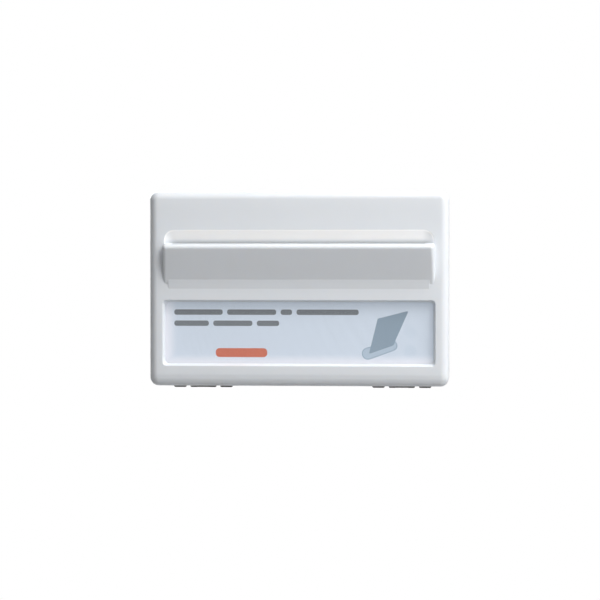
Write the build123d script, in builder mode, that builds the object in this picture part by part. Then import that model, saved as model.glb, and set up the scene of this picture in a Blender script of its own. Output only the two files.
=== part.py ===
from build123d import *
import os
from math import cos, radians, tan

# Hotel key card switch: a wall plate over a three-module switch, in millimetres.
# X runs to the right and Z up. The wall is the plane Y = 0 and the room is on its -Y side,
# so a height here is a distance out of the wall, and a negative height is inside the wall.

# Outer plate
plate_width = 120
plate_height = 78
face_height = 14
plate_corner_radius = 3.5
plate_edge_radius = 3
cover_wall = 2
wall_gap = 0.3

# Fits and overruns
overrun = 1
loose_gap = 0.3
sliding_gap = 0.1
shaft_gap = 0.05
thread_gap = 0.02

# Card pocket and its lip
pocket_side_margin = 5.6
pocket_foot_share = 0.02564
pocket_wall = 1.6
pocket_draft_angle = 6
pocket_side_radius = 1.2
lip_radius = 1.4
lip_height = 20.2
lip_top_share = 0.23462
strip_side_margin = 7.7
strip_foot = 0
strip_top_share = 0.04615
strip_angle = 10

# Funnel-shaped mouth above the lip
mouth_top_share = 0.30385
mouth_side_margin = 6
mouth_foot_share = 0.17949
mouth_depth = 1.3
mouth_corner_radius = 4
slot_side_margin = 9.4
slot_top_share = 0.23077
slot_corner_radius = 0.5

# Label window, lens, label and retainer
window_side_margin = 5.3
window_height_share = 0.33846
window_middle_share = -0.22692
window_corner_radius = 1.5
window_bevel = 0.9
lens_lap = 1
lens_thickness = 1.2
label_thickness = 0.3
label_margin = 0.3
retainer_thickness = 0.9
retainer_lead_in = 0.5
seat_rib = 1.2
seat_rib_height = 10.1
seat_gap = 0.15

# Mounting frame on the wall
frame_thickness = 2
frame_side_gap = 0.4
frame_corner_radius = 2
frame_rim = 0.8
frame_rim_height = 3.4
box_screw_spacing = 83.5
box_slot_width = 4.2
box_slot_length = 8

# Release tabs under the plate
tab_reach = 1.1
tab_spacing_share = 0.67083
tab_shift = 0.6
tab_side_width = 5
tab_middle_width = 10.6
tab_gap = 1.6
tab_corner_radius = 0.6
tab_hollow_width = 5.2
tab_hollow_reach = 1.6
tab_notch_gap = 0.4

# Pegs of the cover and their sockets
peg_width = 5
peg_height = 2.4
peg_split = 0.8
peg_split_length = 6
peg_side_margin = 8
peg_top_margin = 8
peg_bottom_margin = 5
socket_wall = 1.2
socket_height = 7
socket_floor = 0.6

# Three-module housing and its flange
module_width = 67.5
module_height = 45
module_gap = 0.35
module_corner_radius = 1
flange_thickness = 1.2
flange_lap = 1
housing_wall = 1.6
housing_depth = 27

# Card guide
guide_thickness = 1.4
guide_side_margin = 7.7
guide_top_margin = 12.5
guide_bottom_margin = 7.7
guide_rib = 1.4
guide_rib_top_drop = 4.5
guide_rib_bend_drop = 13
guide_rib_rise = 0.6
retainer_gap = 0.3
stop_rise = 7.3
stop_thickness = 1.4
stop_left_margin = 8.3
stop_right_margin = 20.3
gusset_count = 6
gusset_depth = 4
gusset_thickness = 1.2
access_width = 12
access_height = 8
access_corner_radius = 0.8
ear_radius = 2.2
ear_rim_gap = 0.2
ear_top_drop = 8.5
ear_bottom_rise = 4.3
skid_count = 6
skid_width = 1
skid_height = 0.25
skid_pitch = 14

# Lever window, the same in the guide and the housing
lever_window_half_width = 8
lever_window_top = -3
lever_window_bottom = -20.6
guide_window_extra = 0.9

# Card lever, in heights and Z, and its pin
pivot_height = -3
pivot_z = -2
pin_radius = 1
pin_half_length = 12.2
lever_half_width = 7.5
lever_boss_radius = 2.3
lever_boss_half_width = 8.6
ramp_start_height = -1
ramp_start_z = -1
ramp_bend_height = 3.6
ramp_bend_z = -6
nose_height = 9
nose_top_z = -15.8
nose_bottom_z = -17.4
nose_radius = 0.7
heel_height = 7
heel_z = -18.6
tail_height = 0
tail_z = -17.5
pad_height = -4.5
pad_bottom_z = -17
pad_top_z = -12
lever_back_height = -5.2
bracket_inner_x = 9
bracket_width = 2.5
bracket_depth = 6
bracket_top_z = 1.5
bracket_bottom_z = -5.5

# Plunger, its guide wall and its return spring
plunger_z = -15
plunger_width = 5
plunger_height = 7
pad_gap = 0.3
plunger_setback = 7
plunger_tail_length = 1
plunger_tail_radius = 1.2
guide_wall_setback = 16
guide_wall_thickness = 2
guide_wall_half_width = 12
guide_wall_top = -9.5
return_spring_radius = 2.3
return_spring_wire = 0.5
return_spring_turns = 4
spring_stud_length = 2.6

# Contact bridge and its spring in the plunger's window
bridge_setback = 13.5
bridge_thickness = 0.6
bridge_width = 4
bridge_half_length = 10.5
bridge_window_setback = 8.1
contact_spring_radius = 1.4
contact_spring_wire = 0.4
contact_spring_turns = 3
contact_x = 8.5
tip_radius = 1.5
moving_tip_thickness = 0.8
fixed_tip_thickness = 1

# Contact strips and lamp strips
strip_setback = 8.5
strip_thickness = 0.6
strip_width = 5
strip_tail_width = 3.6
lamp_strip_width = 2
lamp_strip_z = -12.5
strip_tail_z = 8.1

# Terminals in the top half of the housing
terminal_places = [-8.5, 8.5, 18.5, 28.5]
clamp_setback = 7
clamp_depth = 6
clamp_width = 6.4
clamp_bottom = 7.1
clamp_height = 7.4
clamp_wall = 1
terminal_screw_radius = 1.5
terminal_screw_bottom = 11.2
terminal_head_radius = 2.1
terminal_head_thickness = 2
terminal_screw_top = 18
terminal_access_radius = 2.4
shelf_thickness = 1.4
shelf_setback = 7.5
partition_thickness = 1.2
partition_places = [-13, -4, 4, 13.5, 23.5]
wire_entry = 3.6

# Rear cover and its screws
rear_cover_thickness = 1.6
register_height = 1.2
register_wall = 1
post_x = 30.2
post_z = 18.9
post_radius = 2.3
screw_core_radius = 1
screw_clear_radius = 1.3
screw_head_radius = 1.9
screw_head_thickness = 1.2
drive_width = 0.6
drive_depth = 0.5
rear_screw_length = 9
guide_screw_tip = 0.7
screw_floor = 0.5

# Lamp board, lamps and resistor
board_thickness = 1
board_flange_gap = 1.1
board_side_margin = 8.5
board_top = -11
board_bottom = -29.1
board_foot_left = 31.5
board_foot_gap = 0.55
board_tab_left = 16
board_tab_top = -9.8
board_tab_bottom = -15.2
board_tab_gap = 0.4
lamp_radius = 2.5
lamp_crown_height = 5.8
lamp_gap = 0.15
lamp_x_share = 0.51
lamp_z_places = [-17.6, -25.3]
corner_lamp_x = 36.4
corner_lamp_z = -26.4
resistor_radius = 1.1
resistor_waist_radius = 0.85
resistor_length = 6
resistor_x = 23.5
resistor_lead_radius = 0.25

# Places on the plate, counted from its edges or as shares of its height
plate_half_width = plate_width / 2
plate_half_height = plate_height / 2
pocket_half_width = plate_half_width - pocket_side_margin
pocket_foot = pocket_foot_share * plate_height
lip_top = lip_top_share * plate_height
strip_half_width = plate_half_width - strip_side_margin
strip_top = strip_top_share * plate_height
mouth_top = mouth_top_share * plate_height
mouth_half_width = plate_half_width - mouth_side_margin
mouth_foot = mouth_foot_share * plate_height
slot_half_width = plate_half_width - slot_side_margin
slot_top = slot_top_share * plate_height
window_width = plate_width - 2 * window_side_margin
window_height = window_height_share * plate_height
window_middle = window_middle_share * plate_height
tab_spacing = tab_spacing_share * plate_width
peg_x = plate_half_width - peg_side_margin
peg_top_z = plate_half_height - peg_top_margin
peg_bottom_z = peg_bottom_margin - plate_half_height
guide_half_width = plate_half_width - guide_side_margin
guide_top = plate_half_height - guide_top_margin
guide_bottom = guide_bottom_margin - plate_half_height
guide_rib_top = guide_top - guide_rib_top_drop
guide_rib_bend = guide_top - guide_rib_bend_drop
stop_top = guide_bottom + stop_rise
stop_left = stop_left_margin - guide_half_width
stop_right = guide_half_width - stop_right_margin

# Places in the housing, counted from its open back
plunger_back = plunger_setback - housing_depth
guide_wall_front = guide_wall_setback - housing_depth
bridge_front = bridge_setback - housing_depth
bridge_window_back = bridge_window_setback - housing_depth
strip_front = strip_setback - housing_depth
clamp_front = clamp_setback - housing_depth
shelf_front = shelf_setback - housing_depth

# Derived sizes and places
cover_inner = face_height - cover_wall
cover_cavity_width = plate_width - 2 * cover_wall
cover_cavity_height = plate_height - 2 * cover_wall
slot_back = face_height - mouth_depth
flange_front = frame_thickness + flange_thickness
guide_front = flange_front + guide_thickness
lens_front = cover_inner
label_front = lens_front - lens_thickness
retainer_front = label_front - label_thickness
retainer_back = retainer_front - retainer_thickness
guide_rib_height = retainer_back - retainer_gap
lens_width = window_width - 2 * window_bevel + 2 * lens_lap
lens_height = window_height - 2 * window_bevel + 2 * lens_lap
frame_width = cover_cavity_width - 2 * frame_side_gap
frame_height = cover_cavity_height - 2 * frame_side_gap
ear_x = frame_width / 2 - frame_rim - ear_rim_gap - ear_radius
ear_top_z = guide_top - ear_top_drop
ear_bottom_z = guide_bottom + ear_bottom_rise
flange_half_width = module_width / 2 + module_gap + flange_lap
flange_half_height = module_height / 2 + module_gap + flange_lap
board_left = flange_half_width + board_flange_gap
board_right = plate_half_width - board_side_margin
board_foot_top = -flange_half_height - board_foot_gap
lamp_x = board_left + lamp_x_share * (board_right - board_left)
lamp_places = [(lamp_x, z) for z in lamp_z_places] + [(corner_lamp_x, corner_lamp_z)]
tab_reach_z = plate_half_height + tab_reach
slope_angle_tan = (lip_height - face_height) / (lip_top - pocket_foot)
housing_front_inner = flange_front - housing_wall
housing_cavity_width = module_width - 2 * housing_wall
housing_cavity_height = module_height - 2 * housing_wall
peg_places = [(x, z) for x in (-peg_x, peg_x) for z in (peg_bottom_z, peg_top_z)]
ear_places = [(x, z) for x in (-ear_x, ear_x) for z in (ear_bottom_z, ear_top_z)]
post_places = [(-post_x, post_z), (post_x, -post_z)]
tab_group_places = [tab_shift - tab_spacing / 2, tab_shift + tab_spacing / 2]
tab_side_offset = tab_middle_width / 2 + tab_gap + tab_side_width / 2
tab_group_width = 2 * tab_side_offset + tab_side_width
clamp_middle = clamp_front - clamp_depth / 2


def wall_plane(height):
    """A plane parallel to the wall at a height out of it, facing the room."""
    return Plane.XZ.offset(height)


def side_plane(x):
    """An upright plane across the plate at x, where a point is (height, z)."""
    return Plane(origin=(x, 0, 0), x_dir=(0, -1, 0), z_dir=(-1, 0, 0))


def top_plane(z):
    """A level plane at z, where a point is (x, height)."""
    return Plane(origin=(0, 0, z), x_dir=(1, 0, 0), z_dir=(0, 0, -1))


def runs_along_side(edge):
    """True for an edge of the pocket's sides that stands clear of the plate's face."""
    middle = edge.center()
    return abs(middle.X) > slot_half_width and middle.Y < -face_height - sliding_gap


os.makedirs("parts", exist_ok=True)

# Outside of the card pocket: a sloped wedge with a round lip and drafted, rounded sides
with BuildPart() as pocket_outside:
    draft_tan = tan(radians(pocket_draft_angle))
    lip_rise = (lip_height - face_height) / (1 + slope_angle_tan * draft_tan)
    with BuildSketch(side_plane(0)) as pocket_profile:
        with BuildLine():
            Polyline(
                (face_height, pocket_foot),
                (face_height + lip_rise, lip_top - lip_rise * draft_tan),
                (face_height, lip_top),
                close=True,
            )
        make_face()
        fillet(pocket_profile.vertices().sort_by(Axis.X)[-1], lip_radius)
    extrude(amount=pocket_half_width, both=True)
    with BuildSketch(wall_plane(face_height)):
        Rectangle(2 * pocket_half_width, 4 * lip_top)
    extrude(amount=lip_rise, taper=pocket_draft_angle, mode=Mode.INTERSECT)
    side_edges = pocket_outside.edges().filter_by(runs_along_side)
    fillet(side_edges, pocket_side_radius)

# Front cover
with BuildPart() as front_cover:
    with BuildSketch(wall_plane(wall_gap)):
        RectangleRounded(plate_width, plate_height, plate_corner_radius)
    extrude(amount=face_height - wall_gap)
    fillet(front_cover.faces().sort_by(Axis.Y)[0].edges(), plate_edge_radius)
    with BuildSketch(wall_plane(wall_gap)):
        RectangleRounded(cover_cavity_width, cover_cavity_height, plate_corner_radius - cover_wall)
    extrude(amount=cover_inner - wall_gap, mode=Mode.SUBTRACT)

    # card pocket, with the shallower strip under it
    add(pocket_outside.part)
    strip_rise = (strip_top - strip_foot) * tan(radians(strip_angle))
    with BuildSketch(side_plane(0)):
        with BuildLine():
            Polyline(
                (face_height, strip_foot),
                (face_height + strip_rise, strip_top),
                (face_height, strip_top + strip_rise),
                close=True,
            )
        make_face()
    extrude(amount=strip_half_width, both=True)

    # seat ribs round the lens
    with BuildSketch(wall_plane(seat_rib_height)):
        with Locations((0, window_middle)):
            seat_width = lens_width + 2 * seat_gap
            seat_height = lens_height + 2 * seat_gap
            Rectangle(seat_width + 2 * seat_rib, seat_height + 2 * seat_rib)
            Rectangle(seat_width, seat_height, mode=Mode.SUBTRACT)
    extrude(amount=cover_inner - seat_rib_height)

    # inside of the pocket, parallel to its slope
    slope_shift = pocket_wall / cos(radians(pocket_draft_angle)) + pocket_wall * slope_angle_tan / 2
    inner_foot = pocket_foot + (cover_inner + slope_shift - face_height) / slope_angle_tan
    with BuildSketch(side_plane(0)):
        with BuildLine():
            Polyline(
                (slot_back - overrun, inner_foot),
                (cover_inner, inner_foot),
                (lip_height - slope_shift, lip_top),
                (lip_height - slope_shift, lip_top + overrun),
                (face_height, lip_top + overrun),
                (slot_back, slot_top),
                (slot_back - overrun, slot_top),
                close=True,
            )
        make_face()
    extrude(amount=slot_half_width, both=True, mode=Mode.SUBTRACT)

    # shallow funnel from the mouth to the slot
    with BuildSketch(wall_plane(slot_back)) as slot_outline:
        with Locations((0, (slot_top + mouth_foot) / 2)):
            Rectangle(2 * slot_half_width, slot_top - mouth_foot)
        fillet(slot_outline.vertices().group_by(Axis.Y)[-1], slot_corner_radius)
    with BuildSketch(wall_plane(face_height)) as mouth_outline:
        with Locations((0, (mouth_top + slot_top) / 2)):
            Rectangle(2 * mouth_half_width, mouth_top - slot_top)
        fillet(mouth_outline.vertices().group_by(Axis.Y)[-1], mouth_corner_radius)
    loft(ruled=True, mode=Mode.SUBTRACT)

    # label window with bevelled walls
    with BuildSketch(wall_plane(cover_inner)):
        with Locations((0, window_middle)):
            RectangleRounded(
                window_width - 2 * window_bevel,
                window_height - 2 * window_bevel,
                window_corner_radius,
            )
    with BuildSketch(wall_plane(face_height)):
        with Locations((0, window_middle)):
            RectangleRounded(window_width, window_height, window_corner_radius)
    loft(ruled=True, mode=Mode.SUBTRACT)

    # split pegs that hold the cover in the frame's sockets
    with BuildSketch(wall_plane(socket_floor + loose_gap)):
        with Locations(*peg_places):
            Rectangle(peg_width, peg_height)
    extrude(amount=cover_inner - socket_floor - loose_gap)
    with BuildSketch(wall_plane(socket_floor + loose_gap)):
        with Locations(*peg_places):
            Rectangle(peg_split, peg_height)
    extrude(amount=peg_split_length, mode=Mode.SUBTRACT)

    # notches in the bottom wall for the frame's tabs
    with BuildSketch(wall_plane(wall_gap)):
        with Locations(*[(x, -plate_half_height) for x in tab_group_places]):
            Rectangle(tab_group_width + 2 * tab_notch_gap, 2 * cover_wall + 2 * frame_side_gap)
    extrude(amount=frame_thickness + tab_notch_gap - wall_gap, mode=Mode.SUBTRACT)
front_cover.part.label = "front_cover"
export_step(front_cover.part, "parts/front_cover.step")

# Window lens
with BuildPart() as window_lens:
    with BuildSketch(wall_plane(label_front)):
        with Locations((0, window_middle)):
            RectangleRounded(lens_width, lens_height, window_corner_radius)
    extrude(amount=lens_thickness)
window_lens.part.label = "window_lens"
export_step(window_lens.part, "parts/window_lens.step")

# Label insert
with BuildPart() as label_insert:
    with BuildSketch(wall_plane(retainer_front)):
        with Locations((0, window_middle)):
            RectangleRounded(
                lens_width - 2 * label_margin, lens_height - 2 * label_margin, window_corner_radius
            )
    extrude(amount=label_thickness)
label_insert.part.label = "label_insert"
export_step(label_insert.part, "parts/label_insert.step")

# Label retainer, with a lead-in for the card along its top
with BuildPart() as label_retainer:
    with BuildSketch(wall_plane(retainer_back)):
        with Locations((0, window_middle)):
            Rectangle(lens_width, lens_height)
    extrude(amount=retainer_thickness)
    back_edges = label_retainer.faces().sort_by(Axis.Y)[-1].edges()
    chamfer(back_edges.sort_by(Axis.Z)[-1], retainer_lead_in)
label_retainer.part.label = "label_retainer"
export_step(label_retainer.part, "parts/label_retainer.step")

# Mounting frame
with BuildPart() as mounting_frame:
    with BuildSketch(wall_plane(0)):
        RectangleRounded(frame_width, frame_height, frame_corner_radius)
    extrude(amount=frame_thickness)

    # rim round the plate
    with BuildSketch(wall_plane(frame_thickness)):
        RectangleRounded(frame_width, frame_height, frame_corner_radius)
        RectangleRounded(
            frame_width - 2 * frame_rim,
            frame_height - 2 * frame_rim,
            frame_corner_radius - frame_rim,
            mode=Mode.SUBTRACT,
        )
    extrude(amount=frame_rim_height - frame_thickness)

    # sockets for the cover's pegs and seats for the guide's ears
    with BuildSketch(wall_plane(frame_thickness)):
        with Locations(*peg_places):
            socket_width = peg_width + 2 * sliding_gap + 2 * socket_wall
            Rectangle(socket_width, peg_height + 2 * sliding_gap + 2 * socket_wall)
    extrude(amount=socket_height - frame_thickness)
    with BuildSketch(wall_plane(socket_floor)):
        with Locations(*peg_places):
            Rectangle(peg_width + 2 * sliding_gap, peg_height + 2 * sliding_gap)
    extrude(amount=socket_height - socket_floor, mode=Mode.SUBTRACT)
    with BuildSketch(wall_plane(frame_thickness)):
        with Locations(*ear_places):
            Rectangle(2 * ear_radius, 2 * ear_radius)
    extrude(amount=flange_thickness)
    with BuildSketch(wall_plane(screw_floor)):
        with Locations(*ear_places):
            Circle(screw_core_radius)
    extrude(amount=flange_front - screw_floor, mode=Mode.SUBTRACT)

    # release tabs along the bottom edge
    with BuildSketch(wall_plane(0)):
        tab_length = tab_reach_z - frame_height / 2 + frame_rim
        tab_middle_z = frame_rim - frame_height / 2 - tab_length / 2
        for group_x in tab_group_places:
            with Locations((group_x, tab_middle_z)):
                RectangleRounded(tab_middle_width, tab_length, tab_corner_radius)
            with Locations(
                (group_x - tab_side_offset, tab_middle_z), (group_x + tab_side_offset, tab_middle_z)
            ):
                RectangleRounded(tab_side_width, tab_length, tab_corner_radius)
    extrude(amount=frame_thickness)
    with BuildSketch(wall_plane(frame_thickness / 2)):
        with Locations(*[(x, -tab_reach_z) for x in tab_group_places]):
            Rectangle(tab_hollow_width, 2 * tab_hollow_reach)
    extrude(amount=frame_thickness / 2, mode=Mode.SUBTRACT)

    # window for the three-module housing
    with BuildSketch(wall_plane(0)):
        RectangleRounded(
            module_width + 2 * module_gap, module_height + 2 * module_gap, module_corner_radius
        )
    extrude(amount=frame_thickness, mode=Mode.SUBTRACT)

    # slotted holes for the wall box's screws
    with BuildSketch(wall_plane(0)):
        with Locations((-box_screw_spacing / 2, 0), (box_screw_spacing / 2, 0)):
            SlotOverall(box_slot_length, box_slot_width)
    extrude(amount=frame_thickness, mode=Mode.SUBTRACT)
mounting_frame.part.label = "mounting_frame"
export_step(mounting_frame.part, "parts/mounting_frame.step")

# Card guide
with BuildPart() as card_guide:
    with BuildSketch(wall_plane(flange_front)):
        with Locations((0, (guide_top + guide_bottom) / 2)):
            RectangleRounded(2 * guide_half_width, guide_top - guide_bottom, access_corner_radius)
        with Locations(*ear_places):
            Circle(ear_radius)
        for x, z in ear_places:
            with Locations(((x + guide_half_width * x / abs(x)) / 2, z)):
                Rectangle(abs(x) - guide_half_width, 2 * ear_radius)
    extrude(amount=guide_thickness)

    # side ribs that close the channel, higher where the card leans out
    rib_bend_height = guide_rib_height + guide_rib_rise
    for side_x in (-guide_half_width + guide_rib / 2, guide_half_width - guide_rib / 2):
        with BuildSketch(side_plane(side_x)):
            with BuildLine():
                Polyline(
                    (guide_front, guide_bottom),
                    (guide_rib_height, guide_bottom),
                    (guide_rib_height, -pocket_foot),
                    (rib_bend_height, guide_rib_bend),
                    (guide_front, guide_rib_top),
                    close=True,
                )
            make_face()
        extrude(amount=guide_rib / 2, both=True)

    # card stop on its gussets
    with BuildSketch(wall_plane(guide_front)):
        with Locations(((stop_left + stop_right) / 2, stop_top - stop_thickness / 2)):
            Rectangle(stop_right - stop_left, stop_thickness)
    extrude(amount=guide_rib_height - guide_front)
    gusset_pitch = (stop_right - stop_left - gusset_thickness) / (gusset_count - 1)
    for n in range(gusset_count):
        gusset_x = stop_left + gusset_thickness / 2 + n * gusset_pitch
        with BuildSketch(side_plane(gusset_x)):
            with BuildLine():
                Polyline(
                    (guide_front, stop_top - stop_thickness),
                    (guide_rib_height, stop_top - stop_thickness),
                    (guide_front, stop_top - stop_thickness - gusset_depth),
                    close=True,
                )
            make_face()
        extrude(amount=gusset_thickness / 2, both=True)

    # low skids that the card slides on
    with BuildSketch(wall_plane(guide_front)):
        with Locations((0, (guide_top + lever_window_top) / 2)):
            with GridLocations(skid_pitch, 0, skid_count, 1):
                Rectangle(skid_width, guide_top - lever_window_top - 2 * skid_width)
    extrude(amount=skid_height)

    # openings: lever window, lamps, box screws and guide screws
    with BuildSketch(wall_plane(flange_front)):
        guide_window_bottom = lever_window_bottom - guide_window_extra
        with Locations((0, (lever_window_top + guide_window_bottom) / 2)):
            Rectangle(2 * lever_window_half_width, lever_window_top - guide_window_bottom)
        with Locations((-box_screw_spacing / 2, 0), (box_screw_spacing / 2, 0)):
            RectangleRounded(access_width, access_height, access_corner_radius)
        with Locations(*lamp_places):
            Circle(lamp_radius + lamp_gap)
        with Locations(*ear_places):
            Circle(screw_clear_radius)
    extrude(amount=guide_rib_height - flange_front, mode=Mode.SUBTRACT)
card_guide.part.label = "card_guide"
export_step(card_guide.part, "parts/card_guide.step")

# Guide screws
with BuildPart() as guide_screws:
    with BuildSketch(wall_plane(guide_front)):
        with Locations(*ear_places):
            Circle(screw_head_radius)
    extrude(amount=screw_head_thickness)
    with BuildSketch(wall_plane(guide_screw_tip)):
        with Locations(*ear_places):
            Circle(screw_core_radius - thread_gap)
    extrude(amount=guide_front - guide_screw_tip)
    with BuildSketch(wall_plane(guide_front + screw_head_thickness)):
        with Locations(*ear_places):
            Rectangle(2 * screw_head_radius, drive_width)
            Rectangle(drive_width, screw_head_radius)
    extrude(amount=-drive_depth, mode=Mode.SUBTRACT)
guide_screws.part.label = "guide_screws"
export_step(guide_screws.part, "parts/guide_screws.step")

# Switch housing, open at the back
with BuildPart() as switch_housing:
    with BuildSketch(wall_plane(frame_thickness)):
        RectangleRounded(2 * flange_half_width, 2 * flange_half_height, module_corner_radius)
    extrude(amount=flange_thickness)
    with BuildSketch(wall_plane(-housing_depth)):
        RectangleRounded(module_width, module_height, module_corner_radius)
    extrude(amount=housing_depth + frame_thickness)
    with BuildSketch(wall_plane(-housing_depth)):
        Rectangle(housing_cavity_width, housing_cavity_height)
    extrude(amount=housing_depth + housing_front_inner, mode=Mode.SUBTRACT)

    # screw posts in two corners
    with BuildSketch(wall_plane(-housing_depth)):
        with Locations(*post_places):
            Circle(post_radius)
    extrude(amount=housing_depth + housing_front_inner)
    with BuildSketch(wall_plane(-housing_depth)):
        with Locations(*post_places):
            Circle(screw_core_radius)
    extrude(amount=rear_screw_length, mode=Mode.SUBTRACT)

    # brackets for the lever's pin
    for side in (-1, 1):
        with BuildSketch(side_plane(side * (bracket_inner_x + bracket_width / 2))):
            with Locations(
                ((housing_front_inner - bracket_depth) / 2, (bracket_top_z + bracket_bottom_z) / 2)
            ):
                Rectangle(bracket_depth + housing_front_inner, bracket_top_z - bracket_bottom_z)
            with Locations((pivot_height, pivot_z)):
                Circle(pin_radius + shaft_gap, mode=Mode.SUBTRACT)
        extrude(amount=bracket_width / 2, both=True)

    # wall that guides the plunger
    guide_wall_bottom = -housing_cavity_height / 2
    with BuildSketch(wall_plane(guide_wall_front - guide_wall_thickness)):
        with Locations((0, (guide_wall_top + guide_wall_bottom) / 2)):
            Rectangle(2 * guide_wall_half_width, guide_wall_top - guide_wall_bottom)
        with Locations((0, plunger_z)):
            Rectangle(
                plunger_width + 2 * sliding_gap, plunger_height + 2 * sliding_gap, mode=Mode.SUBTRACT
            )
    extrude(amount=guide_wall_thickness)

    # shelf and partitions for the terminals
    shelf_depth = housing_depth + shelf_front - register_height
    shelf_left = partition_places[0] - partition_thickness / 2
    shelf_right = housing_cavity_width / 2
    with BuildSketch(wall_plane(shelf_front)):
        with Locations(((shelf_left + shelf_right) / 2, clamp_bottom - shelf_thickness / 2)):
            Rectangle(shelf_right - shelf_left, shelf_thickness)
        for x in partition_places:
            with Locations((x, (clamp_bottom + housing_cavity_height / 2) / 2)):
                Rectangle(partition_thickness, housing_cavity_height / 2 - clamp_bottom)
    extrude(amount=-shelf_depth)

    # screwdriver holes over the terminal screws
    with BuildSketch(top_plane(module_height / 2)):
        with Locations(*[(x, clamp_middle) for x in terminal_places]):
            Circle(terminal_access_radius)
    extrude(amount=housing_wall, mode=Mode.SUBTRACT)

    # lever window, and the slot that the lamp board's tab reaches into
    with BuildSketch(wall_plane(housing_front_inner)):
        with Locations((0, (lever_window_top + lever_window_bottom) / 2)):
            Rectangle(2 * lever_window_half_width, lever_window_top - lever_window_bottom)
        slot_left = board_tab_left - board_tab_gap
        slot_right = flange_half_width
        with Locations(((slot_left + slot_right) / 2, (board_tab_top + board_tab_bottom) / 2)):
            slot_height = board_tab_top - board_tab_bottom + 2 * board_tab_gap
            Rectangle(slot_right - slot_left, slot_height)
    extrude(amount=housing_wall, mode=Mode.SUBTRACT)
switch_housing.part.label = "switch_housing"
export_step(switch_housing.part, "parts/switch_housing.step")

# Housing rear cover
with BuildPart() as housing_rear_cover:
    with BuildSketch(wall_plane(-housing_depth - rear_cover_thickness)):
        RectangleRounded(module_width, module_height, module_corner_radius)
    extrude(amount=rear_cover_thickness)

    # register that locates it in the housing, clear of the posts
    with BuildSketch(wall_plane(-housing_depth)):
        register_width = housing_cavity_width - 2 * sliding_gap
        register_length = housing_cavity_height - 2 * sliding_gap
        Rectangle(register_width, register_length)
        Rectangle(
            register_width - 2 * register_wall,
            register_length - 2 * register_wall,
            mode=Mode.SUBTRACT,
        )
        with Locations(*post_places):
            Circle(post_radius + loose_gap, mode=Mode.SUBTRACT)
    extrude(amount=register_height - loose_gap)

    # stud for the return spring
    with BuildSketch(wall_plane(-housing_depth)):
        with Locations((0, plunger_z)):
            Circle(plunger_tail_radius)
    extrude(amount=spring_stud_length)

    # square wire entries and screw holes
    with BuildSketch(wall_plane(-housing_depth - rear_cover_thickness)):
        entry_z = clamp_bottom + clamp_height / 2
        with Locations(*[(x, entry_z) for x in terminal_places]):
            Rectangle(wire_entry, wire_entry)
        with Locations(*post_places):
            Circle(screw_clear_radius)
    extrude(amount=rear_cover_thickness, mode=Mode.SUBTRACT)
housing_rear_cover.part.label = "housing_rear_cover"
export_step(housing_rear_cover.part, "parts/housing_rear_cover.step")

# Rear cover screws
with BuildPart() as rear_cover_screws:
    screw_seat = -housing_depth - rear_cover_thickness
    with BuildSketch(wall_plane(screw_seat)):
        with Locations(*post_places):
            Circle(screw_head_radius)
    extrude(amount=-screw_head_thickness)
    with BuildSketch(wall_plane(screw_seat)):
        with Locations(*post_places):
            Circle(screw_core_radius - thread_gap)
    extrude(amount=rear_cover_thickness + rear_screw_length - loose_gap)
    with BuildSketch(wall_plane(screw_seat - screw_head_thickness)):
        with Locations(*post_places):
            Rectangle(2 * screw_head_radius, drive_width)
            Rectangle(drive_width, screw_head_radius)
    extrude(amount=drive_depth, mode=Mode.SUBTRACT)
rear_cover_screws.part.label = "rear_cover_screws"
export_step(rear_cover_screws.part, "parts/rear_cover_screws.step")

# Card lever: ramp, nose and pad on a boss round the pin
with BuildPart() as card_lever:
    with BuildSketch(side_plane(0)) as lever_profile:
        with BuildLine():
            Polyline(
                (ramp_start_height, ramp_start_z),
                (ramp_bend_height, ramp_bend_z),
                (nose_height, nose_top_z),
                (nose_height, nose_bottom_z),
                (heel_height, heel_z),
                (tail_height, tail_z),
                (pad_height, pad_bottom_z),
                (pad_height, pad_top_z),
                (lever_back_height, pivot_z),
                close=True,
            )
        make_face()
        nose_corners = lever_profile.vertices().sort_by(Axis.X)[-2:]
        fillet(nose_corners, nose_radius)
    extrude(amount=lever_half_width, both=True)
    with BuildSketch(side_plane(0)):
        with Locations((pivot_height, pivot_z)):
            Circle(lever_boss_radius)
    extrude(amount=lever_boss_half_width, both=True)
    with BuildSketch(side_plane(0)):
        with Locations((pivot_height, pivot_z)):
            Circle(pin_radius + shaft_gap)
    extrude(amount=lever_boss_half_width, both=True, mode=Mode.SUBTRACT)
card_lever.part.label = "card_lever"
export_step(card_lever.part, "parts/card_lever.step")

# Lever pivot pin
with BuildPart() as lever_pivot_pin:
    with BuildSketch(side_plane(0)):
        with Locations((pivot_height, pivot_z)):
            Circle(pin_radius)
    extrude(amount=pin_half_length, both=True)
lever_pivot_pin.part.label = "lever_pivot_pin"
export_step(lever_pivot_pin.part, "parts/lever_pivot_pin.step")

# Switch plunger, with a round nose and a window for the contact bridge
with BuildPart() as switch_plunger:
    plunger_tip = pad_height - pad_gap
    nose_centre = plunger_tip - plunger_height / 2
    with BuildSketch(side_plane(0)):
        with Locations(((nose_centre + plunger_back) / 2, plunger_z)):
            Rectangle(nose_centre - plunger_back, plunger_height)
        with Locations((nose_centre, plunger_z)):
            Circle(plunger_height / 2)
        with Locations(((bridge_front + bridge_window_back) / 2, plunger_z)):
            Rectangle(bridge_front - bridge_window_back, bridge_width, mode=Mode.SUBTRACT)
    extrude(amount=plunger_width / 2, both=True)
    with BuildSketch(wall_plane(plunger_back)):
        with Locations((0, plunger_z)):
            Circle(plunger_tail_radius)
    extrude(amount=-plunger_tail_length)
switch_plunger.part.label = "switch_plunger"
export_step(switch_plunger.part, "parts/switch_plunger.step")


def coil_path(front, back, radius, turns):
    """The centre line of a coil spring round the plunger's axis."""
    return Helix(
        pitch=(front - back) / turns,
        height=front - back,
        radius=radius,
        center=(0, -front, plunger_z),
        direction=(0, 1, 0),
    )


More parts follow.
